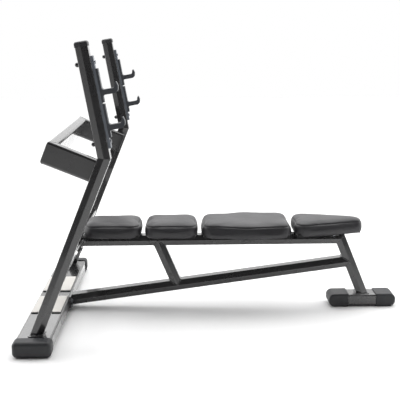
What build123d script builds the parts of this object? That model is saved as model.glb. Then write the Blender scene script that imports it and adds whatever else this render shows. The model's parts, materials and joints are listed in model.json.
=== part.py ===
"""Flat press bench with fixed bar hooks: every separate piece, in millimetres, +Z up.

The origin is on the floor at the middle of the overall length. +X runs from the
uprights to the foot end. "right" is -Y and "left" is +Y, as for a person who lies
on the bench face up with the head at the uprights.
"""
import os

from build123d import *

# ---------------------------------------------------------------- overall size
overall_length = 1752.0
overall_width = 1240.0
rear_x = -overall_length / 2  # rear face of the base caps
sides = {"right": -1, "left": 1}

# ------------------------------------------------------ six-sided frame tube
tube_depth = 52.0  # across the two flats
tube_flat = 44.0  # width of each flat
tube_width = 66.0  # ridge to ridge
tube_corner = 5.0
tube_wall = 3.0
stock_overrun = 60.0  # how far tube stock reaches past a joint before it is cut

# ---------------------------------------------- rounded box tube (100 x 44)
box_height = 100.0
box_width = 44.0
box_corner = 12.0

# ------------------------------------------------------------ rear base beam
base_width = 152.0
base_height = 60.0
base_corner = 10.0
base_cap_side = 6.0  # rubber thickness at the sides
base_cap_sole = 5.0  # rubber thickness below and above
base_cap_depth = 58.0
base_cap_end = 8.0
base_cap_corner = 20.0
base_cap_round = 17.0
base_cap_lip = 2.0
base_x = rear_x + base_width / 2 + base_cap_side
base_top = base_cap_sole + base_height
base_front_x = base_x + base_width / 2

# --------------------------------------------------------------- foot plates
foot_plate_inner_y = 36.0
foot_plate_length = 228.0
foot_plate_width = 138.0
carrier_thickness = 3.0
tread_thickness = 2.5
tread_end_margin = 5.0
tread_side_margin = 2.5
tread_corner = 3.0
carrier_corner = 5.0
carrier_edge = 1.0
rib_end_margin = 2.0
rib_height = 1.2
rib_width = 3.2
rib_count = 17

# ------------------------------------------------------------------ uprights
upright_y = 508.0
knuckle_x = rear_x + 400.5
knuckle_z = 823.5
lower_lean = 22.4  # degrees, forward going up
upper_lean = -9.6  # degrees, backward going up
upper_length = 450.0
lower_stock_length = 900.0
collar_thickness = 4.0
collar_corner = 14.0
plate_edge = 1.2
collar_length = 70.0
collar_width = 78.0
post_collar_width = 74.0
upright_cap_rim = 1.6
upright_cap_height = 22.0
upright_cap_dome = 10.0
plug_depth = 30.0
plug_clearance = 0.3

# ------------------------------------------------------------ rails and hooks
hook_rail_width = 36.0
hook_rail_thickness = 11.0
hook_rail_top = upper_length - 40.0
hook_rail_length = 374.0
hook_rail_corner = 3.0
hook_rail_edge = 1.0
rail_bolt_radius = 5.0
rail_bolt_hole = 5.3
rail_bolt_inset = 26.0
rail_bolt_head = 9.0
rail_bolt_head_height = 5.0
rail_bolt_head_taper = 20.0
dome_nut_radius = 9.5
dome_nut_height = 16.0
dome_nut_rim = 1.5
dome_nut_rim_height = 2.0
dome_nut_crown = 5.0  # thickness of the closed end
hook_width = 36.0
hook_plate_thickness = 9.0
hook_plate_length = 136.0
hook_pitch = 142.0
upper_hook_centre = upper_length - 160.5
hook_arm_top = -17.5  # from the middle of the hook's plate
hook_arm_thickness = 21.0
hook_reach = 75.0
hook_screw_offsets = (46.0, -57.0)
hook_screw_radius = 4.0
hook_screw_head = 8.0
hook_screw_clearance = 0.4
hook_screw_sink = 0.6  # how far the screw heads lie below the plate
hook_screw_neck = 2.0

# ------------------------------------------------------------------ rear tie
tie_arm_y = 460.0
tie_rear = -240.0  # in front of the lower upright's centre line
tie_middle = -76.0  # along the lower upright, from the knuckle
tie_front = 14.0
tie_plug_thickness = 4.0

# -------------------------------------------------------------- centre frame
cross_member_front = 24.0
cross_member_along = -523.0
flange_thickness = 8.0
flange_width = 120.0
flange_height = 76.0
flange_bolt_y = 47.0
flange_bolt_rise = 24.0
flange_bolt_radius = 5.0
flange_bolt_hole = 5.3
flange_bolt_head = 8.0
flange_bolt_head_height = 6.4
flange_corner = 8.0
washer_rim = 2.0
washer_thickness = 1.5
weld_nut_height = 8.0
rail_z = 340.0
post_lean = -22.5
post_corner_x = rear_x + 1476.4
strut_mid_x = rear_x + 647.4
strut_mid_z = 200.0
post_stock_length = 330.0
strut_stock_length = 400.0
lower_rail_mid_x = rear_x + 1025.0
lower_rail_mid_z = 158.1
lower_rail_rise = 7.6
lower_flange_height = 59.0
lower_flange_z = 41.5
lower_flange_bolt_z = (25.0, 47.0)

# ---------------------------------------------------------------- front foot
foot_length = 326.0
foot_width = 93.0
foot_height = 55.0
foot_corner = 8.0
foot_cap_wall = 4.5
foot_cap_length = 96.0
foot_cap_end = 22.0
foot_cap_round = 28.0
foot_cap_edge = 8.0
foot_x = overall_length / 2 - foot_length / 2
foot_top = foot_cap_wall + foot_height
foot_width_outer = foot_width + 2 * foot_cap_wall

# ---------------------------------------------------------------------- pads
pad_bottom = 370.0
pad_top = 441.0
pad_top_round = 16.0
pad_bottom_round = 5.0
board_thickness = 12.0
board_margin = 12.0
board_clearance = 0.4
mount_plate_thickness = pad_bottom - rail_z - tube_depth / 2
mount_plate_length = 40.0
mount_plate_width = 120.0
mount_plate_corner = 5.0
pad_screw_y = 48.0
pad_screw_radius = 4.0
pad_screw_head = 7.0
pad_screw_head_height = 4.0
pad_screw_grip = 10.0
pad_screw_head_taper = 18.0
pad_screw_clearance = 0.4
screw_thread_gap = 0.1
# Stations along each pad: distance from the rear of the base, and half width there.
pad_outlines = {
    1: ((243, 108), (516, 114)),
    2: ((532, 116), (784, 121)),
    3: ((801, 121), (900, 132), (1010, 162), (1230, 132)),
    4: ((1243, 129), (1410, 90), (1582, 36)),
}
pad_corner = 44.0
pad_tip_corner = {1: 44.0, 2: 44.0, 3: 46.0, 4: 33.0}
pad_side_round = 180.0
mount_plate_stations = {1: (320, 455), 2: (590, 725), 3: (880, 1150), 4: (1300, 1440)}


# -------------------------------------------------------------------- helpers
def leaning_plane(x, y, z, lean):
    """Plane across a member: local z runs along it, local x to its front, local y is +Y."""
    upright = Plane(origin=(x, y, z), x_dir=(1, 0, 0), z_dir=(0, 0, 1))
    return upright.rotated((0, lean, 0))


def moved(frame, front=0.0, side=0.0, along=0.0):
    """The same plane with its origin moved in its own directions."""
    origin = frame.from_local_coords(Vector(front, side, along))
    return Plane(origin=origin, x_dir=frame.x_dir, z_dir=frame.z_dir)


def facing_front(frame, front=0.0, side=0.0, along=0.0):
    """Plane whose normal is the front of a member, with +Y as its local x."""
    origin = frame.from_local_coords(Vector(front, side, along))
    return Plane(origin=origin, x_dir=(0, 1, 0), z_dir=frame.x_dir)


def seen_from_right(frame, front=0.0, side=0.0, along=0.0):
    """Side view plane of a member: local x to its front, local y along it."""
    origin = frame.from_local_coords(Vector(front, side, along))
    return Plane(origin=origin, x_dir=frame.x_dir, z_dir=(0, -1, 0))


def six_sided(plane, wall=tube_wall):
    """Section of the frame tube; wall=None gives the solid outline."""
    with BuildSketch(plane) as section:
        with BuildLine():
            Polyline(
                (tube_depth / 2, -tube_flat / 2),
                (tube_depth / 2, tube_flat / 2),
                (0, tube_width / 2),
                (-tube_depth / 2, tube_flat / 2),
                (-tube_depth / 2, -tube_flat / 2),
                (0, -tube_width / 2),
                close=True,
            )
        make_face()
        fillet(section.vertices(), tube_corner)
        if wall:
            offset(amount=-wall, mode=Mode.SUBTRACT)
    return section.sketch


def round_box(plane, width, height, corner, wall=None):
    """Section of a rounded box tube; wall=None gives the solid outline."""
    with BuildSketch(plane) as section:
        RectangleRounded(width, height, corner)
        if wall:
            RectangleRounded(width - 2 * wall, height - 2 * wall, corner - wall, mode=Mode.SUBTRACT)
    return section.sketch


def solid_member(frame, below, above):
    """Solid bar with the frame tube's outline, for cutting another tube to fit against it."""
    with BuildPart() as bar:
        extrude(six_sided(moved(frame, along=-below), wall=None), amount=below + above)
    return bar.part


def save(part, name):
    """Label a finished piece and write it as one STEP file."""
    part.label = name
    export_step(part, f"parts/{name}.step")


os.makedirs("parts", exist_ok=True)

knuckle = {}  # frame of each lower upright, from the knuckle
mast = {}  # frame of each upper upright, from the knuckle
upright_bar = {}
for side, sign in sides.items():
    knuckle[side] = leaning_plane(knuckle_x, sign * upright_y, knuckle_z, lower_lean)
    mast[side] = leaning_plane(knuckle_x, sign * upright_y, knuckle_z, upper_lean)
    upright_bar[side] = solid_member(knuckle[side], lower_stock_length, stock_overrun)
middle = leaning_plane(knuckle_x, 0, knuckle_z, lower_lean)
post_frame = leaning_plane(post_corner_x, 0, rail_z, post_lean)
strut_frame = leaning_plane(strut_mid_x, 0, strut_mid_z, post_lean)
top_rail_frame = leaning_plane(0, 0, rail_z, 90)
lower_rail_frame = leaning_plane(lower_rail_mid_x, 0, lower_rail_mid_z, 90 - lower_rail_rise)

# ================================================================== base beam
base_plane = Plane(origin=(base_x, 0, base_cap_sole + base_height / 2), x_dir=(1, 0, 0), z_dir=(0, -1, 0))
base_tube_half = overall_width / 2 - base_cap_end

with BuildPart() as base_beam:
    extrude(
        round_box(base_plane, base_width, base_height, base_corner, tube_wall),
        amount=base_tube_half,
        both=True,
    )
    weld_nut_holes = [
        Plane(origin=(base_front_x, y, z), z_dir=(1, 0, 0))
        for y in (-flange_bolt_y, flange_bolt_y)
        for z in lower_flange_bolt_z
    ]
    with Locations(*weld_nut_holes):
        Cylinder(flange_bolt_hole, 4 * tube_wall, mode=Mode.SUBTRACT)
save(base_beam.part, "base_beam")

for side, sign in sides.items():
    cap_outer_y = sign * overall_width / 2
    cap_plane = Plane(
        origin=(base_x, cap_outer_y, base_cap_sole + base_height / 2), x_dir=(1, 0, 0), z_dir=(0, -sign, 0)
    )
    with BuildPart() as base_cap:
        extrude(
            round_box(
                cap_plane,
                base_width + 2 * base_cap_side,
                base_height + 2 * base_cap_sole,
                base_cap_corner,
            ),
            amount=base_cap_depth,
        )
        outer_face = base_cap.faces().sort_by(Axis.Y)[0 if sign < 0 else -1]
        inner_face = base_cap.faces().sort_by(Axis.Y)[-1 if sign < 0 else 0]
        fillet(outer_face.edges(), base_cap_round)
        fillet(inner_face.edges(), base_cap_lip)
        extrude(
            round_box(cap_plane.offset(base_cap_end), base_width, base_height, base_corner),
            amount=base_cap_depth,
            mode=Mode.SUBTRACT,
        )
    save(base_cap.part, f"base_cap_{side}")

# ================================================================ foot plates
for side, sign in sides.items():
    plate_y = sign * (foot_plate_inner_y + foot_plate_length / 2)
    carrier_plane = Plane(origin=(base_x, plate_y, base_top))
    with BuildPart() as carrier:
        extrude(
            round_box(carrier_plane, foot_plate_width, foot_plate_length, carrier_corner),
            amount=carrier_thickness,
        )
        fillet(carrier.faces().sort_by(Axis.Z)[-1].edges(), carrier_edge)
    save(carrier.part, f"foot_plate_carrier_{side}")

    tread_width = foot_plate_width - 2 * tread_side_margin
    tread_length = foot_plate_length - 2 * tread_end_margin
    with BuildPart() as tread:
        extrude(
            round_box(carrier_plane.offset(carrier_thickness), tread_width, tread_length, tread_corner),
            amount=tread_thickness,
        )
        rib_plane = carrier_plane.offset(carrier_thickness + tread_thickness)
        with BuildSketch(rib_plane):
            with GridLocations(tread_width / rib_count, 0, rib_count, 1):
                Rectangle(rib_width, tread_length - 2 * rib_end_margin)
        extrude(amount=rib_height)
    save(tread.part, f"foot_plate_tread_{side}")

# =================================================================== uprights
miter_lean = (lower_lean + upper_lean) / 2
for side, sign in sides.items():
    miter = leaning_plane(knuckle_x, sign * upright_y, knuckle_z, miter_lean)
    with BuildPart() as lower_upright:
        extrude(
            six_sided(moved(knuckle[side], along=-lower_stock_length)),
            amount=lower_stock_length + stock_overrun,
        )
        split(bisect_by=miter, keep=Keep.BOTTOM)
        split(bisect_by=Plane.XY.offset(base_top + collar_thickness), keep=Keep.TOP)
    save(lower_upright.part, f"upright_lower_{side}")

    bolt_planes = [
        facing_front(mast[side], along=hook_rail_top - rail_bolt_inset),
        facing_front(mast[side], along=hook_rail_top - hook_rail_length + rail_bolt_inset),
    ]
    with BuildPart() as upper_upright:
        extrude(six_sided(moved(mast[side], along=-stock_overrun)), amount=upper_length + stock_overrun)
        split(bisect_by=miter, keep=Keep.TOP)
        with Locations(*bolt_planes):
            Cylinder(rail_bolt_hole, 2 * tube_depth, mode=Mode.SUBTRACT)
    save(upper_upright.part, f"upright_upper_{side}")

    # Collar plate that the upright is welded to on top of the base beam.
    collar_x = knuckle[side].from_local_coords(
        Vector(0, 0, -(knuckle_z - base_top) / knuckle[side].z_dir.Z)
    ).X
    with BuildPart() as collar:
        with BuildSketch(Plane(origin=(collar_x, sign * upright_y, base_top))):
            RectangleRounded(collar_length, collar_width, collar_corner)
        extrude(amount=collar_thickness)
        fillet(collar.faces().sort_by(Axis.Z)[-1].edges(), plate_edge)
    save(collar.part, f"upright_collar_{side}")

    top_frame = moved(mast[side], along=upper_length)
    with BuildPart() as upright_cap:
        with BuildSketch(top_frame):
            add(six_sided(Plane.XY, wall=None))
            offset(amount=upright_cap_rim)
        extrude(amount=upright_cap_height)
        fillet(
            upright_cap.faces().sort_by(Axis((0, 0, 0), tuple(top_frame.z_dir)))[-1].edges(),
            upright_cap_dome,
        )
        with BuildSketch(top_frame):
            add(six_sided(Plane.XY, wall=None))
            offset(amount=-tube_wall - plug_clearance, mode=Mode.REPLACE)
        extrude(amount=-plug_depth)
    save(upright_cap.part, f"upright_cap_{side}")

# ============================================================ hook rails, bolts
with BuildPart() as rail_bolts:
    for side in sides:
        for along in (hook_rail_top - rail_bolt_inset, hook_rail_top - hook_rail_length + rail_bolt_inset):
            head_plane = facing_front(mast[side], front=tube_depth / 2 + hook_rail_thickness, along=along)
            tip = tube_depth + hook_rail_thickness + dome_nut_height / 2
            with BuildSketch(head_plane):
                Circle(rail_bolt_radius)
            extrude(amount=-tip)
            with BuildSketch(head_plane):
                Circle(rail_bolt_head)
            extrude(amount=rail_bolt_head_height, taper=rail_bolt_head_taper)
save(rail_bolts.part, "rail_bolts")

with BuildPart() as dome_nuts:
    for side in sides:
        for along in (hook_rail_top - rail_bolt_inset, hook_rail_top - hook_rail_length + rail_bolt_inset):
            seat = facing_front(mast[side], front=-tube_depth / 2, along=along)
            nut_axis = Axis(tuple(seat.origin), tuple(-seat.z_dir))
            with BuildSketch(Plane(origin=seat.origin, x_dir=(0, 1, 0), z_dir=seat.x_dir.cross(seat.z_dir))):
                with BuildLine():
                    Polyline(
                        (rail_bolt_hole, 0),
                        (dome_nut_radius + dome_nut_rim, 0),
                        (dome_nut_radius + dome_nut_rim, -dome_nut_rim_height),
                        (dome_nut_radius, -dome_nut_rim_height),
                        (dome_nut_radius, -(dome_nut_height - dome_nut_radius)),
                    )
                    RadiusArc(
                        (dome_nut_radius, -(dome_nut_height - dome_nut_radius)),
                        (0, -dome_nut_height),
                        dome_nut_radius,
                    )
                    Polyline(
                        (0, -dome_nut_height),
                        (0, -dome_nut_height + dome_nut_crown),
                        (rail_bolt_hole, -dome_nut_height + dome_nut_crown),
                        (rail_bolt_hole, 0),
                    )
                make_face()
            revolve(axis=nut_axis)
save(dome_nuts.part, "dome_nuts")

hook_centres = (upper_hook_centre, upper_hook_centre - hook_pitch)
for side in sides:
    rail_middle = hook_rail_top - hook_rail_length / 2
    rail_face = facing_front(mast[side], front=tube_depth / 2, along=rail_middle)
    with BuildPart() as hook_rail:
        extrude(
            round_box(rail_face, hook_rail_width, hook_rail_length, hook_rail_corner),
            amount=hook_rail_thickness,
        )
        fillet(hook_rail.faces().sort_by(Axis((0, 0, 0), tuple(rail_face.z_dir)))[-1].edges(), hook_rail_edge)
        with Locations(
            facing_front(mast[side], front=tube_depth / 2, along=hook_rail_top - rail_bolt_inset),
            facing_front(
                mast[side], front=tube_depth / 2, along=hook_rail_top - hook_rail_length + rail_bolt_inset
            ),
        ):
            Cylinder(rail_bolt_hole, 4 * hook_rail_thickness, mode=Mode.SUBTRACT)
        screw_seats = [
            facing_front(mast[side], front=tube_depth / 2 + hook_rail_thickness / 2, along=centre + rise)
            for centre in hook_centres
            for rise in hook_screw_offsets
        ]
        with Locations(*screw_seats):
            Cylinder(hook_screw_radius + screw_thread_gap, hook_rail_thickness, mode=Mode.SUBTRACT)
    save(hook_rail.part, f"hook_rail_{side}")

# ====================================================================== hooks
hook_back = tube_depth / 2 + hook_rail_thickness
hook_front = hook_back + hook_plate_thickness
arm_bottom = hook_arm_top - hook_arm_thickness
half_plate = hook_plate_length / 2
for side in sides:
    for level, centre in zip(("upper", "lower"), hook_centres):
        profile_plane = seen_from_right(mast[side], front=hook_back, along=centre)
        with BuildPart() as hook:
            with BuildSketch(profile_plane):
                with BuildLine():
                    Polyline(
                        (0, -half_plate),
                        (hook_plate_thickness, -half_plate),
                        (hook_plate_thickness, arm_bottom),
                        (hook_reach - 5, arm_bottom),
                        (hook_reach, -12),
                        (hook_reach - 5.5, 7),
                        (hook_reach - 11, 0),
                        (hook_reach - 16, hook_arm_top),
                        (hook_plate_thickness, hook_arm_top),
                        (hook_plate_thickness, half_plate),
                        (0, half_plate),
                        close=True,
                    )
                make_face()
            extrude(amount=hook_width / 2, both=True)
            across = hook.edges().filter_by(Axis.Y)
            spot = {e: profile_plane.to_local_coords(e.center()) for e in across}
            under = [
                e
                for e in across
                if abs(spot[e].Y - arm_bottom) < 1 and abs(spot[e].X - hook_plate_thickness) < 1
            ]
            bend = [e for e in across if abs(spot[e].Y - arm_bottom) < 1 and spot[e].X > hook_reach - 10]
            cradle = [e for e in across if abs(spot[e].Y - hook_arm_top) < 1]
            tip = [e for e in across if spot[e].Y > 5 and spot[e].X > hook_reach - 10]
            shoulder = [e for e in across if abs(spot[e].Y + 12) < 1]
            neck = [e for e in across if abs(spot[e].Y) < 1]
            fillet(under, 9)
            fillet(bend, 17)
            fillet(cradle, 10)
            fillet(tip, 2.5)
            fillet(shoulder, 14)
            fillet(neck, 9)
            with Locations(
                *[
                    facing_front(mast[side], front=hook_front, along=centre + rise)
                    for rise in hook_screw_offsets
                ]
            ):
                CounterSinkHole(
                    hook_screw_radius + hook_screw_clearance, hook_screw_head, hook_plate_thickness * 2
                )
        save(hook.part, f"bar_hook_{level}_{side}")

with BuildPart() as hook_screws:
    for side in sides:
        for centre in hook_centres:
            for rise in hook_screw_offsets:
                screw_plane = facing_front(mast[side], front=hook_front, along=centre + rise)
                with BuildSketch(screw_plane.offset(-hook_screw_sink)):
                    Circle(hook_screw_head - 1.5 * hook_screw_sink)
                extrude(amount=-(hook_screw_head - hook_screw_radius), taper=45)
                with BuildSketch(screw_plane.offset(-hook_screw_neck)):
                    Circle(hook_screw_radius)
                extrude(amount=-(hook_plate_thickness + hook_rail_thickness - 1.5 * hook_screw_neck))
save(hook_screws.part, "hook_screws")

# =================================================================== rear tie
tie_corner_line = tie_rear + box_width / 2
with BuildPart() as tie_cross_bar:
    bar_plane = seen_from_right(middle, front=tie_corner_line, along=tie_middle)
    extrude(
        round_box(bar_plane, box_width, box_height, box_corner, tube_wall),
        amount=tie_arm_y + box_width / 2,
        both=True,
    )
    for sign in sides.values():
        corner = middle.from_local_coords(Vector(tie_corner_line, sign * tie_arm_y, tie_middle))
        corner_cut = Plane(origin=corner, z_dir=middle.x_dir + Vector(0, sign, 0))
        split(bisect_by=corner_cut, keep=Keep.BOTTOM)
save(tie_cross_bar.part, "tie_cross_bar")

for side, sign in sides.items():
    arm_plane = facing_front(middle, front=tie_rear, side=sign * tie_arm_y, along=tie_middle)
    corner = middle.from_local_coords(Vector(tie_corner_line, sign * tie_arm_y, tie_middle))
    corner_cut = Plane(origin=corner, z_dir=middle.x_dir + Vector(0, sign, 0))
    with BuildPart() as tie_arm:
        extrude(
            round_box(arm_plane, box_width, box_height, box_corner, tube_wall), amount=tie_front - tie_rear
        )
        split(bisect_by=corner_cut, keep=Keep.TOP)
        add(upright_bar[side], mode=Mode.SUBTRACT)
    save(tie_arm.part, f"tie_arm_{side}")

    with BuildPart() as tie_plug:
        extrude(
            round_box(arm_plane.offset(tie_front - tie_rear), box_width, box_height, box_corner),
            amount=tie_plug_thickness,
        )
        add(upright_bar[side], mode=Mode.SUBTRACT)
    save(tie_plug.part, f"tie_plug_{side}")

# =============================================================== cross member
cross_plane = seen_from_right(middle, front=cross_member_front - box_width / 2, along=cross_member_along)
rail_flange_plane = facing_front(middle, front=cross_member_front, along=cross_member_along)
rail_flange_bolts = [
    facing_front(middle, front=cross_member_front, side=y, along=cross_member_along + rise)
    for y in (-flange_bolt_y, flange_bolt_y)
    for rise in (-flange_bolt_rise, flange_bolt_rise)
]
base_flange_bolts = [
    Plane(origin=(base_front_x, y, z), x_dir=(0, 1, 0), z_dir=(1, 0, 0))
    for y in (-flange_bolt_y, flange_bolt_y)
    for z in lower_flange_bolt_z
]

with BuildPart() as cross_member:
    extrude(
        round_box(cross_plane, box_width, box_height, box_corner, tube_wall),
        amount=upright_y - tube_flat / 2,
        both=True,
    )
    for side in sides:
        add(upright_bar[side], mode=Mode.SUBTRACT)
    with Locations(*rail_flange_bolts):
        Cylinder(flange_bolt_hole, 4 * tube_wall, mode=Mode.SUBTRACT)
save(cross_member.part, "cross_member")

with BuildPart() as rail_flange:
    extrude(round_box(rail_flange_plane, flange_width, flange_height, flange_corner), amount=flange_thickness)
    with Locations(*rail_flange_bolts):
        Cylinder(flange_bolt_hole, 4 * flange_thickness, mode=Mode.SUBTRACT)
save(rail_flange.part, "rail_head_flange")

with BuildPart() as base_flange:
    base_flange_plane = Plane(origin=(base_front_x, 0, lower_flange_z), x_dir=(0, 1, 0), z_dir=(1, 0, 0))
    extrude(
        round_box(base_flange_plane, flange_width, lower_flange_height, flange_corner),
        amount=flange_thickness,
    )
    with Locations(*base_flange_bolts):
        Cylinder(flange_bolt_hole, 4 * flange_thickness, mode=Mode.SUBTRACT)
save(base_flange.part, "lower_rail_flange")

with BuildPart() as flange_bolts:
    for seat in rail_flange_bolts + base_flange_bolts:
        with BuildSketch(seat.offset(flange_thickness)):
            Circle(flange_bolt_radius)
        extrude(amount=-(flange_thickness + tube_wall + weld_nut_height))
        with BuildSketch(seat.offset(flange_thickness)):
            Circle(flange_bolt_head + washer_rim)
        extrude(amount=washer_thickness)
        with BuildSketch(seat.offset(flange_thickness + washer_thickness)):
            RegularPolygon(flange_bolt_head, 6, major_radius=False)
        extrude(amount=flange_bolt_head_height)
save(flange_bolts.part, "flange_bolts")

with BuildPart() as weld_nuts:
    for seat in rail_flange_bolts + base_flange_bolts:
        with BuildSketch(seat.offset(-tube_wall)):
            RegularPolygon(flange_bolt_head, 6, major_radius=False)
            Circle(flange_bolt_hole, mode=Mode.SUBTRACT)
        extrude(amount=-weld_nut_height)
save(weld_nuts.part, "weld_nuts")

# =============================================================== centre frame
rail_corner = leaning_plane(post_corner_x, 0, rail_z, 90 + (90 + post_lean) / 2)
top_bar = solid_member(top_rail_frame, overall_length / 2, overall_length / 2)
lower_bar = solid_member(lower_rail_frame, overall_length / 2, overall_length / 2)
post_bar = solid_member(post_frame, post_stock_length, stock_overrun)

with BuildPart() as top_rail:
    extrude(six_sided(moved(top_rail_frame, along=rear_x)), amount=overall_length)
    split(bisect_by=rail_flange_plane.offset(flange_thickness), keep=Keep.TOP)
    split(bisect_by=rail_corner, keep=Keep.BOTTOM)
save(top_rail.part, "top_rail")

with BuildPart() as front_post:
    extrude(
        six_sided(moved(post_frame, along=-post_stock_length)), amount=post_stock_length + stock_overrun
    )
    split(bisect_by=rail_corner, keep=Keep.TOP)
    split(bisect_by=Plane.XY.offset(foot_top + collar_thickness), keep=Keep.TOP)
save(front_post.part, "front_post")

with BuildPart() as mid_strut:
    extrude(six_sided(moved(strut_frame, along=-strut_stock_length / 2)), amount=strut_stock_length)
    split(bisect_by=Plane.XY.offset(rail_z), keep=Keep.BOTTOM)
    split(bisect_by=facing_front(lower_rail_frame), keep=Keep.BOTTOM)
    add(top_bar, mode=Mode.SUBTRACT)
    add(lower_bar, mode=Mode.SUBTRACT)
save(mid_strut.part, "mid_strut")

with BuildPart() as lower_rail:
    extrude(
        six_sided(moved(lower_rail_frame, along=-overall_length / 2 - stock_overrun)),
        amount=overall_length,
    )
    split(bisect_by=Plane.YZ.offset(base_front_x + flange_thickness), keep=Keep.TOP)
    split(bisect_by=facing_front(post_frame), keep=Keep.BOTTOM)
    add(post_bar, mode=Mode.SUBTRACT)
save(lower_rail.part, "lower_rail")

# ================================================================= front foot
foot_plane = Plane(origin=(foot_x, 0, foot_top - foot_height / 2), x_dir=(0, 1, 0), z_dir=(1, 0, 0))
with BuildPart() as foot_beam:
    extrude(
        round_box(foot_plane, foot_width, foot_height, foot_corner, tube_wall),
        amount=foot_length / 2 - foot_cap_end,
        both=True,
    )
save(foot_beam.part, "foot_beam")

for end, sign in {"rear": -1, "front": 1}.items():
    end_x = foot_x + sign * foot_length / 2
    with BuildPart() as foot_cap:
        with BuildSketch(Plane.XZ.offset(-foot_width_outer / 2)) as side_view:
            with Locations((end_x - sign * foot_cap_length / 2, foot_height / 2 + foot_cap_wall)):
                Rectangle(foot_cap_length, foot_height + 2 * foot_cap_wall)
            fillet(side_view.vertices().group_by(Axis.X)[-1 if sign > 0 else 0], foot_cap_round)
        extrude(amount=foot_width_outer)
        fillet(foot_cap.faces().group_by(Axis.Y)[0].edges(), foot_cap_edge)
        fillet(foot_cap.faces().group_by(Axis.Y)[-1].edges(), foot_cap_edge)
        pocket_plane = foot_plane.offset(sign * (foot_length / 2 - foot_cap_end))
        extrude(
            round_box(pocket_plane, foot_width, foot_height, foot_corner),
            amount=-sign * foot_cap_length,
            mode=Mode.SUBTRACT,
        )
    save(foot_cap.part, f"foot_cap_{end}")

post_foot_x = post_frame.from_local_coords(Vector(0, 0, (foot_top - rail_z) / post_frame.z_dir.Z)).X
with BuildPart() as post_collar:
    with BuildSketch(Plane(origin=(post_foot_x, 0, foot_top))):
        RectangleRounded(collar_length, post_collar_width, collar_corner)
    extrude(amount=collar_thickness)
    fillet(post_collar.faces().sort_by(Axis.Z)[-1].edges(), plate_edge)
save(post_collar.part, "post_collar")


# ======================================================================= pads
def pad_outline(number, height, inset=0.0):
    """Plan of a pad at a height, with rounded corners and eased sides."""
    left = [(rear_x + x, half) for x, half in pad_outlines[number]]
    right = [(x, -half) for x, half in reversed(left)]
    with BuildSketch(Plane.XY.offset(height)) as plan:
        with BuildLine():
            Polyline(*left, *right, close=True)
        make_face()
        columns = plan.vertices().group_by(Axis.X)
        for column in columns[1:-1]:
            fillet(column, pad_side_round)
        fillet(columns[0], pad_corner)
        fillet(columns[-1], pad_tip_corner[number])
        if inset:
            offset(amount=-inset)
    return plan.sketch


def pad_screw_spots(number):
    """Where the screws of one pad stand, in plan."""
    return [(rear_x + x, y) for x in mount_plate_stations[number] for y in (-pad_screw_y, pad_screw_y)]


for number in pad_outlines:
    with BuildPart() as board:
        extrude(pad_outline(number, pad_bottom, board_margin), amount=board_thickness)
        with BuildSketch(Plane.XY.offset(pad_bottom)):
            with Locations(*pad_screw_spots(number)):
                Circle(pad_screw_radius + screw_thread_gap)
        extrude(amount=board_thickness, mode=Mode.SUBTRACT)
    save(board.part, f"pad_board_{number}")

    with BuildPart() as cushion:
        extrude(pad_outline(number, pad_bottom), amount=pad_top - pad_bottom)
        fillet(cushion.faces().sort_by(Axis.Z)[-1].edges(), pad_top_round)
        fillet(cushion.faces().sort_by(Axis.Z)[0].edges(), pad_bottom_round)
        extrude(
            pad_outline(number, pad_bottom, board_margin - board_clearance),
            amount=board_thickness + board_clearance,
            mode=Mode.SUBTRACT,
        )
    save(cushion.part, f"pad_cushion_{number}")

plate_spots = [
    (rear_x + station, 0) for stations in mount_plate_stations.values() for station in stations
]
screw_spots = [spot for number in pad_outlines for spot in pad_screw_spots(number)]
with BuildPart() as mount_plates:
    with BuildSketch(Plane.XY.offset(pad_bottom)):
        with Locations(*plate_spots):
            RectangleRounded(mount_plate_length, mount_plate_width, mount_plate_corner)
        with Locations(*screw_spots):
            Circle(pad_screw_radius + pad_screw_clearance, mode=Mode.SUBTRACT)
    extrude(amount=-mount_plate_thickness)
save(mount_plates.part, "pad_mount_plates")

with BuildPart() as pad_screws:
    with BuildSketch(Plane.XY.offset(pad_bottom - mount_plate_thickness)):
        with Locations(*screw_spots):
            Circle(pad_screw_radius)
    extrude(amount=mount_plate_thickness + pad_screw_grip)
    with BuildSketch(Plane.XY.offset(pad_bottom - mount_plate_thickness)):
        with Locations(*screw_spots):
            Circle(pad_screw_head)
    extrude(amount=-pad_screw_head_height, taper=pad_screw_head_taper)
save(pad_screws.part, "pad_screws")
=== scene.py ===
"""Looks for the flat press bench: materials, sewn pads, weld beads, light and camera."""
import json
import math

import bmesh
import bpy
from mathutils import Matrix, Vector
from mathutils.bvhtree import BVHTree
from mathutils.kdtree import KDTree


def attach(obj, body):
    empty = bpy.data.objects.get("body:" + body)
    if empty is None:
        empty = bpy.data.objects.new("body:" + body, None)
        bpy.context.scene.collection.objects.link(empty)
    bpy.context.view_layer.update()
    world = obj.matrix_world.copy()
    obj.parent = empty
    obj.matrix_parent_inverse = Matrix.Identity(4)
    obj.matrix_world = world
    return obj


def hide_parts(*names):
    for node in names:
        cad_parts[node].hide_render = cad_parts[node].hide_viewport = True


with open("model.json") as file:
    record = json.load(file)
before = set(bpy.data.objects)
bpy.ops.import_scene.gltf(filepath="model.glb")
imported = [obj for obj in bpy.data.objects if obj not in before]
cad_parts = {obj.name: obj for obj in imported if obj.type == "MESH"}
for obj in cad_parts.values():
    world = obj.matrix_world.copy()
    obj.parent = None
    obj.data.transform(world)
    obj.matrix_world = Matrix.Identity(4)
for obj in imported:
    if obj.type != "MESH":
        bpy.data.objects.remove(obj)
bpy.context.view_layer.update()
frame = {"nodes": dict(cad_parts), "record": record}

scene = bpy.context.scene
nodes = frame["nodes"]
MM = 0.001
REAR = -0.876  # rear face of the base


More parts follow.
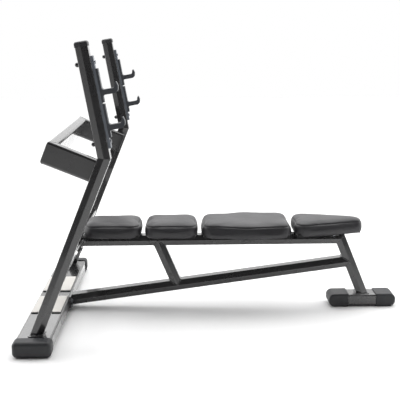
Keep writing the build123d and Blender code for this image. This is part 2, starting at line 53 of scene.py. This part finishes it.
# ------------------------------------------------------------------ materials
def surface(name, color, rough, metallic=0.0, coat=0.0, coat_rough=0.05, grain=0.0, grain_scale=400.0,
            wear=0.0, wear_color=None, rough_vary=0.06, ior=1.5, specular=0.5, cells=False):
    """A procedural material: colour wear, uneven roughness and a fine grain."""
    mat = bpy.data.materials.new(name)
    mat.use_nodes = True
    tree = mat.node_tree
    shader = tree.nodes["Principled BSDF"]
    link = tree.links.new
    shader.inputs["Metallic"].default_value = metallic
    shader.inputs["IOR"].default_value = ior
    shader.inputs["Specular IOR Level"].default_value = specular
    shader.inputs["Coat Weight"].default_value = coat
    shader.inputs["Coat Roughness"].default_value = coat_rough
    place = tree.nodes.new("ShaderNodeTexCoord")
    cloud = tree.nodes.new("ShaderNodeTexNoise")
    cloud.inputs["Scale"].default_value = 9.0
    cloud.inputs["Detail"].default_value = 5.0
    link(place.outputs["Object"], cloud.inputs["Vector"])
    spread = tree.nodes.new("ShaderNodeMapRange")
    spread.inputs["From Min"].default_value = 0.3
    spread.inputs["From Max"].default_value = 0.7
    spread.inputs["To Min"].default_value = max(0.02, rough - rough_vary)
    spread.inputs["To Max"].default_value = min(1.0, rough + rough_vary)
    link(cloud.outputs["Fac"], spread.inputs["Value"])
    link(spread.outputs["Result"], shader.inputs["Roughness"])
    if wear > 0:
        patch = tree.nodes.new("ShaderNodeTexNoise")
        patch.inputs["Scale"].default_value = 38.0
        patch.inputs["Detail"].default_value = 6.0
        link(place.outputs["Object"], patch.inputs["Vector"])
        share = tree.nodes.new("ShaderNodeMapRange")
        share.inputs["From Min"].default_value = 0.45
        share.inputs["From Max"].default_value = 0.8
        share.inputs["To Max"].default_value = wear
        link(patch.outputs["Fac"], share.inputs["Value"])
        mix = tree.nodes.new("ShaderNodeMix")
        mix.data_type = "RGBA"
        mix.inputs["A"].default_value = (*color, 1)
        mix.inputs["B"].default_value = (*(wear_color or color), 1)
        link(share.outputs["Result"], mix.inputs["Factor"])
        link(mix.outputs["Result"], shader.inputs["Base Color"])
    else:
        shader.inputs["Base Color"].default_value = (*color, 1)
    if grain > 0:
        if cells:
            fine = tree.nodes.new("ShaderNodeTexVoronoi")
            fine.feature = "F1"
            height = fine.outputs["Distance"]
        else:
            fine = tree.nodes.new("ShaderNodeTexNoise")
            fine.inputs["Detail"].default_value = 3.0
            height = fine.outputs["Fac"]
        fine.inputs["Scale"].default_value = grain_scale
        link(place.outputs["Object"], fine.inputs["Vector"])
        bump = tree.nodes.new("ShaderNodeBump")
        bump.inputs["Strength"].default_value = grain
        bump.inputs["Distance"].default_value = 0.0004
        link(height, bump.inputs["Height"])
        link(bump.outputs["Normal"], shader.inputs["Normal"])
    return mat


looks = {
    "frame_paint": surface("frame_paint", (0.013, 0.0125, 0.0135), 0.28, coat=1.0, coat_rough=0.05,
                           grain=0.05, grain_scale=900.0, wear=0.35, wear_color=(0.019, 0.0185, 0.02),
                           specular=0.6),
    "rail_steel": surface("rail_steel", (0.16, 0.175, 0.2), 0.34, metallic=0.35, grain=0.08,
                          grain_scale=700.0, wear=0.3, wear_color=(0.21, 0.225, 0.25)),
    "black_fasteners": surface("black_fasteners", (0.012, 0.012, 0.013), 0.25, coat=0.4, grain=0.08,
                               grain_scale=1200.0, wear=0.2, wear_color=(0.02, 0.02, 0.022)),
    "hook_coating": surface("hook_coating", (0.05, 0.054, 0.062), 0.4, metallic=0.1, grain=0.12,
                            grain_scale=800.0, wear=0.3, wear_color=(0.075, 0.08, 0.09)),
    "zinc_fasteners": surface("zinc_fasteners", (0.3, 0.31, 0.33), 0.3, metallic=0.9, grain=0.1,
                              grain_scale=1200.0, wear=0.3, wear_color=(0.2, 0.2, 0.21)),
    "black_rubber": surface("black_rubber", (0.021, 0.022, 0.025), 0.55, grain=0.3, grain_scale=1500.0,
                            wear=0.3, wear_color=(0.045, 0.047, 0.05)),
    "black_plastic": surface("black_plastic", (0.02, 0.02, 0.022), 0.45, grain=0.25, grain_scale=1800.0,
                             wear=0.2, wear_color=(0.03, 0.03, 0.033)),
    "cream_rubber": surface("cream_rubber", (0.7, 0.68, 0.65), 0.6, grain=0.3, grain_scale=1500.0,
                            wear=0.3, wear_color=(0.68, 0.65, 0.6)),
    "pad_vinyl": surface("pad_vinyl", (0.024, 0.0232, 0.0262), 0.45, coat=0.1, coat_rough=0.4, grain=0.3,
                         grain_scale=650.0, wear=0.35, wear_color=(0.032, 0.031, 0.0345), cells=True),
    "pad_thread": surface("pad_thread", (0.008, 0.008, 0.009), 0.7, grain=0.3, grain_scale=2500.0,
                          wear=0.2, wear_color=(0.02, 0.02, 0.02)),
    "board_backing": surface("board_backing", (0.018, 0.018, 0.019), 0.85, grain=0.4, grain_scale=900.0,
                             wear=0.3, wear_color=(0.03, 0.03, 0.031)),
}
for part in frame["record"]["subparts"]:
    node = nodes[part["node"]]
    node.data.materials.clear()
    node.data.materials.append(looks[part["material_slot"]])


def add_piece(name, mesh, slot, *replaced):
    """Link a new piece to the scene, with its material; the caller puts it on the one body."""
    piece = bpy.data.objects.new(name, mesh)
    scene.collection.objects.link(piece)
    mesh.materials.clear()
    mesh.materials.append(looks[slot])
    if replaced:
        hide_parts(*replaced)
    return piece


# ----------------------------------------------------------------------- pads
PAD_BOTTOM = 0.370
PAD_SEAM = 0.4265
PAD_TOP = 0.4405
PADS = {
    1: ((243, 108), (516, 114)),
    2: ((532, 116), (784, 121)),
    3: ((801, 121), (900, 132), (1010, 162), (1230, 132)),
    4: ((1243, 129), (1410, 90), (1582, 36)),
}
PAD_CORNERS = {1: (52, 48), 2: (48, 48), 3: (48, 52), 4: (48, 34)}
WAIST_RADIUS = 0.18  # the soft bend where a pad's side changes direction
VOXEL = 0.005
AIR_PRESSURE = 4.0
AIR_REACH = 0.005  # how far the air may push the cover out
CLOTH_FRAMES = 20
HELD_HEIGHT = 0.006  # the cover is held to the board below this height
CROWN_HEIGHT = 0.009
CROWN_FALLOFF = 0.055
SEAM_PULL = 0.0026
SEAM_SPREAD = 0.0030
SEAM_REACH = 0.022  # how far from the pad's edge the seam pulls
SEAM_BAND = 0.014
THREAD_RADIUS = 0.0011


def rounded_loop(number, step=0.006):
    """Plan of a pad as an even loop of points, with its corners rounded."""
    left = [Vector((REAR + x * MM, half * MM)) for x, half in PADS[number]]
    right = [Vector((p.x, -p.y)) for p in reversed(left)]
    corners = left + right
    count = len(left)
    radii = [WAIST_RADIUS] * len(corners)
    radii[0] = radii[-1] = PAD_CORNERS[number][0] * MM
    radii[count - 1] = radii[count] = PAD_CORNERS[number][1] * MM
    path = []
    for i, corner in enumerate(corners):
        before = (corners[i - 1] - corner).normalized()
        after = (corners[(i + 1) % len(corners)] - corner).normalized()
        angle = before.angle(after)
        reach = radii[i] / math.tan(angle / 2)
        start = corner + before * reach
        end = corner + after * reach
        centre = corner + (before + after).normalized() * (radii[i] / math.sin(angle / 2))
        sweep = math.pi - angle
        bits = max(4, int(sweep * radii[i] / 0.003))
        a0 = start - centre
        turn = -1 if a0.cross(end - centre) < 0 else 1
        for k in range(bits + 1):
            t = turn * sweep * k / bits
            path.append(centre + Vector((a0.x * math.cos(t) - a0.y * math.sin(t),
                                         a0.x * math.sin(t) + a0.y * math.cos(t))))
    lengths = [0.0]
    for a, b in zip(path, path[1:] + path[:1]):
        lengths.append(lengths[-1] + (b - a).length)
    total = lengths[-1]
    amount = int(total / step)
    loop = []
    k = 0
    for i in range(amount):
        want = total * i / amount
        while lengths[k + 1] < want:
            k += 1
        share = (want - lengths[k]) / max(1e-9, lengths[k + 1] - lengths[k])
        loop.append(path[k].lerp(path[(k + 1) % len(path)], share))
    return loop


def inset_loop(loop, amount):
    """The loop moved inward by an amount along its own normals."""
    result = []
    count = len(loop)
    centre = sum(loop, Vector((0, 0))) / count
    for i, p in enumerate(loop):
        along = (loop[(i + 1) % count] - loop[i - 1]).normalized()
        inward = Vector((-along.y, along.x))
        if inward.dot(centre - p) < 0:
            inward = -inward
        result.append(p + inward * amount)
    return result


def stacked_form(name, loop, levels):
    """A closed form of rings, one for each (height, inset), with a flat face at both ends."""
    mesh = bpy.data.meshes.new(name)
    bm = bmesh.new()
    rings = []
    for z, inset in levels:
        ring = inset_loop(loop, inset)
        rings.append([bm.verts.new((p.x, p.y, z)) for p in ring])
    for low, high in zip(rings, rings[1:]):
        for i in range(len(loop)):
            j = (i + 1) % len(loop)
            bm.faces.new((low[i], low[j], high[j], high[i]))
    bm.faces.new(rings[0])
    bm.faces.new(rings[-1])
    bmesh.ops.recalc_face_normals(bm, faces=bm.faces)
    bm.to_mesh(mesh)
    bm.free()
    return mesh


def nearest_edge(loop):
    """A search tree over the points of a loop, for distances to the pad's edge."""
    tree = KDTree(len(loop))
    for i, p in enumerate(loop):
        tree.insert((p.x, p.y, 0), i)
    tree.balance()
    return tree


def bake(obj):
    """Apply every modifier of an object to its mesh."""
    graph = bpy.context.evaluated_depsgraph_get()
    graph.update()
    mesh = bpy.data.meshes.new_from_object(obj.evaluated_get(graph))
    old = obj.data
    obj.modifiers.clear()
    obj.data = mesh
    bpy.data.meshes.remove(old)


def swell(obj, pressure, reach):
    """Fill the form with air as cloth, and let no point travel further than reach."""
    start = [v.co.copy() for v in obj.data.vertices]
    pinned = obj.vertex_groups.new(name="held")
    held = [v.index for v in obj.data.vertices if v.co.z < PAD_BOTTOM + HELD_HEIGHT]
    pinned.add(held, 1.0, "REPLACE")
    cloth = obj.modifiers.new("air", "CLOTH")
    cloth.settings.vertex_group_mass = "held"
    cloth.settings.use_pressure = True
    cloth.settings.uniform_pressure_force = pressure
    cloth.settings.effector_weights.gravity = 0
    cloth.settings.quality = 5
    cloth.settings.mass = 0.3
    cloth.settings.tension_stiffness = 40
    cloth.settings.compression_stiffness = 40
    cloth.settings.bending_stiffness = 8.0
    cloth.collision_settings.use_collision = False
    cloth.point_cache.frame_start = 1
    cloth.point_cache.frame_end = CLOTH_FRAMES
    for f in range(1, CLOTH_FRAMES + 1):
        scene.frame_set(f)
    graph = bpy.context.evaluated_depsgraph_get()
    moved = [v.co.copy() for v in obj.evaluated_get(graph).data.vertices]
    obj.modifiers.clear()
    obj.vertex_groups.clear()
    scene.frame_set(1)
    for v, a, b in zip(obj.data.vertices, start, moved):
        way = b - a
        if way.length > reach:
            way = way.normalized() * reach
        v.co = a + way


def swept_loop(name, points, radius, ripple=0.0, around=8):
    """A closed thin tube along a loop of points; ripple varies its radius like a weld's scales."""
    mesh = bpy.data.meshes.new(name)
    bm = bmesh.new()
    count = len(points)
    rings = []
    side = None
    for i, p in enumerate(points):
        along = (points[(i + 1) % count] - points[i - 1]).normalized()
        if side is None:
            side = along.cross(Vector((0.31, 0.17, 0.94))).normalized()
        side = (side - along * side.dot(along)).normalized()
        other = side.cross(along)
        size = radius * (1 + ripple * math.sin(i * 1.9))
        rings.append([bm.verts.new(p + size * (math.cos(a) * side + math.sin(a) * other))
                      for a in [2 * math.pi * k / around for k in range(around)]])
    for i in range(count):
        low, high = rings[i], rings[(i + 1) % count]
        shift = 0
        if i == count - 1:
            shift = min(range(around), key=lambda k: (low[0].co - high[k].co).length)
        for k in range(around):
            n = (k + 1) % around
            bm.faces.new((low[k], low[n], high[(n + shift) % around], high[(k + shift) % around]))
    bmesh.ops.recalc_face_normals(bm, faces=bm.faces)
    bm.to_mesh(mesh)
    bm.free()
    for f in mesh.polygons:
        f.use_smooth = True
    return mesh


def make_pad(number):
    """A sewn pad: a crowned top panel over a side band, swollen by cloth, with its seam pulled in."""
    loop = rounded_loop(number)
    edges = nearest_edge(loop)
    levels = [
        (PAD_BOTTOM - 0.0003, 0.0150),
        (PAD_BOTTOM + 0.0004, 0.0095),
        (PAD_BOTTOM + 0.0040, 0.0052),
        (PAD_BOTTOM + 0.0100, 0.0030),
        (PAD_BOTTOM + 0.0200, 0.0018),
        (PAD_BOTTOM + 0.0330, 0.0016),
        (PAD_BOTTOM + 0.0450, 0.0026),
        (PAD_SEAM - 0.0020, 0.0046),
        (PAD_SEAM + 0.0040, 0.0080),
        (PAD_SEAM + 0.0065, 0.0130),
        (PAD_SEAM + 0.0075, 0.0190),
    ]
    mesh = stacked_form(f"pad_{number}", loop, levels)
    pad = add_piece(f"pad_{number}", mesh, "pad_vinyl", f"pad_cushion_{number}")
    remesh = pad.modifiers.new("even", "REMESH")
    remesh.mode = "VOXEL"
    remesh.voxel_size = VOXEL
    bake(pad)
    swell(pad, AIR_PRESSURE, AIR_REACH)
    relax = pad.modifiers.new("relax", "SMOOTH")
    relax.factor = 0.5
    relax.iterations = 22
    bake(pad)
    finer = pad.modifiers.new("finer", "SUBSURF")
    finer.levels = 1
    finer.subdivision_type = "CATMULL_CLARK"
    bake(pad)
    middle = Vector((sum(q.x for q in loop) / len(loop), 0))
    for v in pad.data.vertices:
        distance = edges.find((v.co.x, v.co.y, 0))[2]
        if v.co.z > PAD_SEAM:
            v.co.z += CROWN_HEIGHT * (1 - math.exp(-distance / CROWN_FALLOFF))
        off = v.co.z - PAD_SEAM
        if distance < SEAM_REACH and abs(off) < SEAM_BAND:
            inward = (middle - Vector((v.co.x, v.co.y))).normalized()
            pull = SEAM_PULL * math.exp(-((off / SEAM_SPREAD) ** 2))
            v.co.x += inward.x * pull
            v.co.y += inward.y * pull
        v.co.z = min(max(v.co.z, PAD_BOTTOM - 0.0003), PAD_TOP + 0.005)
    for f in pad.data.polygons:
        f.use_smooth = True
    pad.data.materials.clear()
    pad.data.materials.append(looks["pad_vinyl"])
    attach(pad, "root")

    skin = BVHTree.FromPolygons([v.co for v in pad.data.vertices],
                                [tuple(f.vertices) for f in pad.data.polygons])
    line = []
    count = len(loop)
    for i, p in enumerate(loop):
        along = (loop[(i + 1) % count] - loop[i - 1]).normalized()
        inward = Vector((-along.y, along.x))
        if inward.dot(middle - p) < 0:
            inward = -inward
        start = Vector((p.x - inward.x * 0.03, p.y - inward.y * 0.03, PAD_SEAM))
        hit = skin.ray_cast(start, Vector((inward.x, inward.y, 0)))[0]
        if hit is not None:
            line.append(hit)
    smooth_line = [
        (line[i - 1] + line[i] * 2 + line[(i + 1) % len(line)]) / 4
        for i in range(len(line))
    ]
    thread = swept_loop(f"pad_seam_{number}", smooth_line, THREAD_RADIUS)
    welt = add_piece(f"pad_seam_{number}", thread, "pad_thread")
    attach(welt, "root")


for number in PADS:
    make_pad(number)


# ---------------------------------------------------------------------- welds
class Member:
    """A six-sided tube: a point on its centre line, its front and its direction, in the row frame."""

    def __init__(self, x, y, z, lean):
        self.origin = Vector((REAR + x * MM, y * MM, z * MM))
        angle = math.radians(lean)
        self.front = Vector((math.cos(angle), 0, -math.sin(angle)))
        self.along = Vector((math.sin(angle), 0, math.cos(angle)))


TUBE_HALF = 0.026
FLAT_HALF = 0.022
RIDGE_HALF = 0.033
BOX_WIDTH = 0.044
BOX_HEIGHT = 0.100
BOX_CORNER = 0.012
COLLAR_TOP = 0.069  # the collar plates on the base beam
POST_COLLAR_TOP = 0.0635
SIDE = Vector((0, 1, 0))
uprights = {s: Member(400.5, s * 508, 823.5, 22.4) for s in (-1, 1)}
top_rail = Member(876, 0, 340, 90)
lower_rail = Member(1025, 0, 158.1, 82.4)
post = Member(1476.4, 0, 340, -22.5)
strut = Member(647.4, 0, 200, -22.5)


def tube_outline(steps=6):
    """Section of the six-sided tube as local (front, side) pairs, a little inside its sharp corners."""
    corners = [(TUBE_HALF, -FLAT_HALF), (TUBE_HALF, FLAT_HALF), (0, RIDGE_HALF),
               (-TUBE_HALF, FLAT_HALF), (-TUBE_HALF, -FLAT_HALF), (0, -RIDGE_HALF)]
    points = []
    for i, a in enumerate(corners):
        b = corners[(i + 1) % 6]
        for k in range(steps):
            share = 0.07 + 0.86 * k / (steps - 1)
            points.append((a[0] + (b[0] - a[0]) * share, a[1] + (b[1] - a[1]) * share))
    return points


def cut_by_plane(member, point, normal):
    """Where the member's skin crosses a plane."""
    ring = []
    for u, w in tube_outline():
        p = member.origin + member.front * u + SIDE * w
        ring.append(p + member.along * ((point - p).dot(normal) / member.along.dot(normal)))
    return ring


def coped_on(member, other, face):
    """Where the member's skin meets the front (1) or the back (-1) of another six-sided tube."""
    ring = []
    for u, w in tube_outline():
        p = member.origin + member.front * u + SIDE * w
        depth = TUBE_HALF * (1 - max(0.0, abs(w) - FLAT_HALF) / (RIDGE_HALF - FLAT_HALF))
        gap = face * depth - (p - other.origin).dot(other.front)
        ring.append(p + member.along * (gap / member.along.dot(other.front)))
    return ring


def box_outline(width, height, corner, steps=5):
    """Section of a rounded box tube as local pairs."""
    points = []
    for cx, cy, start in ((1, 1, 0), (-1, 1, 90), (-1, -1, 180), (1, -1, 270)):
        for k in range(steps):
            angle = math.radians(start + 90 * k / (steps - 1))
            points.append((cx * (width / 2 - corner) + corner * math.cos(angle),
                           cy * (height / 2 - corner) + corner * math.sin(angle)))
    return points


def spaced(ring, step=0.0022):
    """The closed ring with evenly spaced points."""
    points = []
    for a, b in zip(ring, ring[1:] + ring[:1]):
        bits = max(1, round((b - a).length / step))
        points += [a.lerp(b, k / bits) for k in range(bits)]
    return points


def weld(name, ring, radius):
    """A bead along a closed ring, slightly rippled as a hand-laid bead is."""
    piece = add_piece(name, swept_loop(name, spaced(ring), radius, ripple=0.16), "frame_paint")
    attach(piece, "root")


UP = Vector((0, 0, 1))
for s, side in ((-1, "right"), (1, "left")):
    upright = uprights[s]
    weld(f"weld_foot_{side}", cut_by_plane(upright, Vector((0, 0, COLLAR_TOP)), UP), 0.0026)
    miter_lean = math.radians(6.4)
    miter = Vector((math.sin(miter_lean), 0, math.cos(miter_lean)))
    weld(f"weld_knuckle_{side}", cut_by_plane(upright, upright.origin, miter), 0.0009)
    seam = []
    for u, w in box_outline(BOX_WIDTH, BOX_HEIGHT, BOX_CORNER):
        front = u + 0.002
        reach = 0.508 - (RIDGE_HALF - abs(front) / TUBE_HALF * (RIDGE_HALF - FLAT_HALF))
        middle = uprights[s].origin + upright.front * front + upright.along * (w - 0.523)
        seam.append(Vector((middle.x, s * reach, middle.z)))
    weld(f"weld_cross_member_{side}", seam, 0.0028)
    corner = []
    for u, w in box_outline(BOX_WIDTH, BOX_HEIGHT, BOX_CORNER):
        middle = upright.origin + upright.front * (-0.218 + u) + upright.along * (w - 0.076)
        corner.append(Vector((middle.x, s * (0.460 - u), middle.z)))
    weld(f"weld_tie_corner_{side}", corner, 0.0010)
weld("weld_post_foot", cut_by_plane(post, Vector((0, 0, POST_COLLAR_TOP)), UP), 0.0028)
corner_lean = math.radians(123.75)
corner_normal = Vector((math.sin(corner_lean), 0, math.cos(corner_lean)))
weld("weld_rail_corner", cut_by_plane(post, post.origin, corner_normal), 0.0010)
weld("weld_strut_top", coped_on(strut, top_rail, 1), 0.0030)
weld("weld_strut_bottom", coped_on(strut, lower_rail, -1), 0.0030)
weld("weld_lower_rail_post", coped_on(lower_rail, post, -1), 0.0028)
base_flange_face = Vector((REAR + 0.166, 0, 0))
weld("weld_lower_rail_flange", cut_by_plane(lower_rail, base_flange_face, Vector((1, 0, 0))), 0.0024)
middle_upright = Member(400.5, 0, 823.5, 22.4)
flange_face = middle_upright.origin + middle_upright.front * 0.032
weld("weld_top_rail_flange", cut_by_plane(top_rail, flange_face, middle_upright.front), 0.0024)

# ---------------------------------------------------------------------- stage
floor_mesh = bpy.data.meshes.new("floor")
bm = bmesh.new()
bmesh.ops.create_grid(bm, x_segments=2, y_segments=2, size=12.0)
bm.to_mesh(floor_mesh)
bm.free()
floor = bpy.data.objects.new("floor", floor_mesh)
scene.collection.objects.link(floor)
floor_look = bpy.data.materials.new("floor_white")
floor_look.use_nodes = True
floor_shader = floor_look.node_tree.nodes["Principled BSDF"]
floor_shader.inputs["Base Color"].default_value = (0.93, 0.93, 0.93, 1)
floor_shader.inputs["Roughness"].default_value = 0.85
floor_shader.inputs["Specular IOR Level"].default_value = 0.2
floor_mesh.materials.append(floor_look)
floor.location.z = -0.0005


def soft_light(name, place, target, width, height, power):
    """A rectangular soft box aimed at a point."""
    lamp = bpy.data.lights.new(name, "AREA")
    lamp.shape = "RECTANGLE"
    lamp.size = width
    lamp.size_y = height
    lamp.energy = power
    obj = bpy.data.objects.new(name, lamp)
    scene.collection.objects.link(obj)
    obj.location = place
    obj.rotation_euler = (Vector(target) - Vector(place)).to_track_quat("-Z", "Y").to_euler()


soft_light("overhead", (0.1, 0.6, 3.6), (0.0, 0.1, 0.3), 4.4, 3.0, 105)
soft_light("far_floor", (0.0, 8.0, 5.0), (0.0, 8.0, 0.0), 22.0, 11.0, 700)
soft_light("side_left", (-3.4, 0.3, 1.5), (-0.3, 0.0, 0.5), 1.6, 2.6, 38)
soft_light("side_right", (3.6, 0.8, 1.6), (0.2, 0.0, 0.4), 1.6, 2.6, 42)

# The studio is white behind the bench, less bright overhead, and dim on the near side.
world = bpy.data.worlds.new("studio")
scene.world = world
world.use_nodes = True
air = world.node_tree
place = air.nodes.new("ShaderNodeTexCoord")
split = air.nodes.new("ShaderNodeSeparateXYZ")
air.links.new(place.outputs["Generated"], split.inputs["Vector"])
away = air.nodes.new("ShaderNodeMapRange")
away.interpolation_type = "SMOOTHSTEP"
away.inputs["From Min"].default_value = -0.45
away.inputs["From Max"].default_value = 0.25
away.inputs["To Min"].default_value = 0.13
away.inputs["To Max"].default_value = 1.0
air.links.new(split.outputs["Y"], away.inputs["Value"])
air.links.new(away.outputs["Result"], air.nodes["Background"].inputs["Color"])
air.nodes["Background"].inputs["Strength"].default_value = 1.0
scene.view_settings.view_transform = "Standard"

# --------------------------------------------------------------------- camera
yaw = math.radians(0.99225)
pitch = math.radians(12.42930)
roll = math.radians(-0.32504)
look = Vector((math.sin(yaw) * math.cos(pitch), math.cos(yaw) * math.cos(pitch), -math.sin(pitch)))
right = Vector((math.cos(yaw), -math.sin(yaw), 0.0))
up = right.cross(look)
right_rolled = right * math.cos(roll) + up * math.sin(roll)
up_rolled = up * math.cos(roll) - right * math.sin(roll)
lens = bpy.data.cameras.new("photo_camera")
lens.sensor_width = 36.0
lens.lens = 68.652
camera = bpy.data.objects.new("photo_camera", lens)
scene.collection.objects.link(camera)
camera.matrix_world = Matrix((
    (right_rolled.x, up_rolled.x, -look.x, -0.14151),
    (right_rolled.y, up_rolled.y, -look.y, -3.58075),
    (right_rolled.z, up_rolled.z, -look.z, 1.32195),
    (0, 0, 0, 1),
))
scene.camera = camera
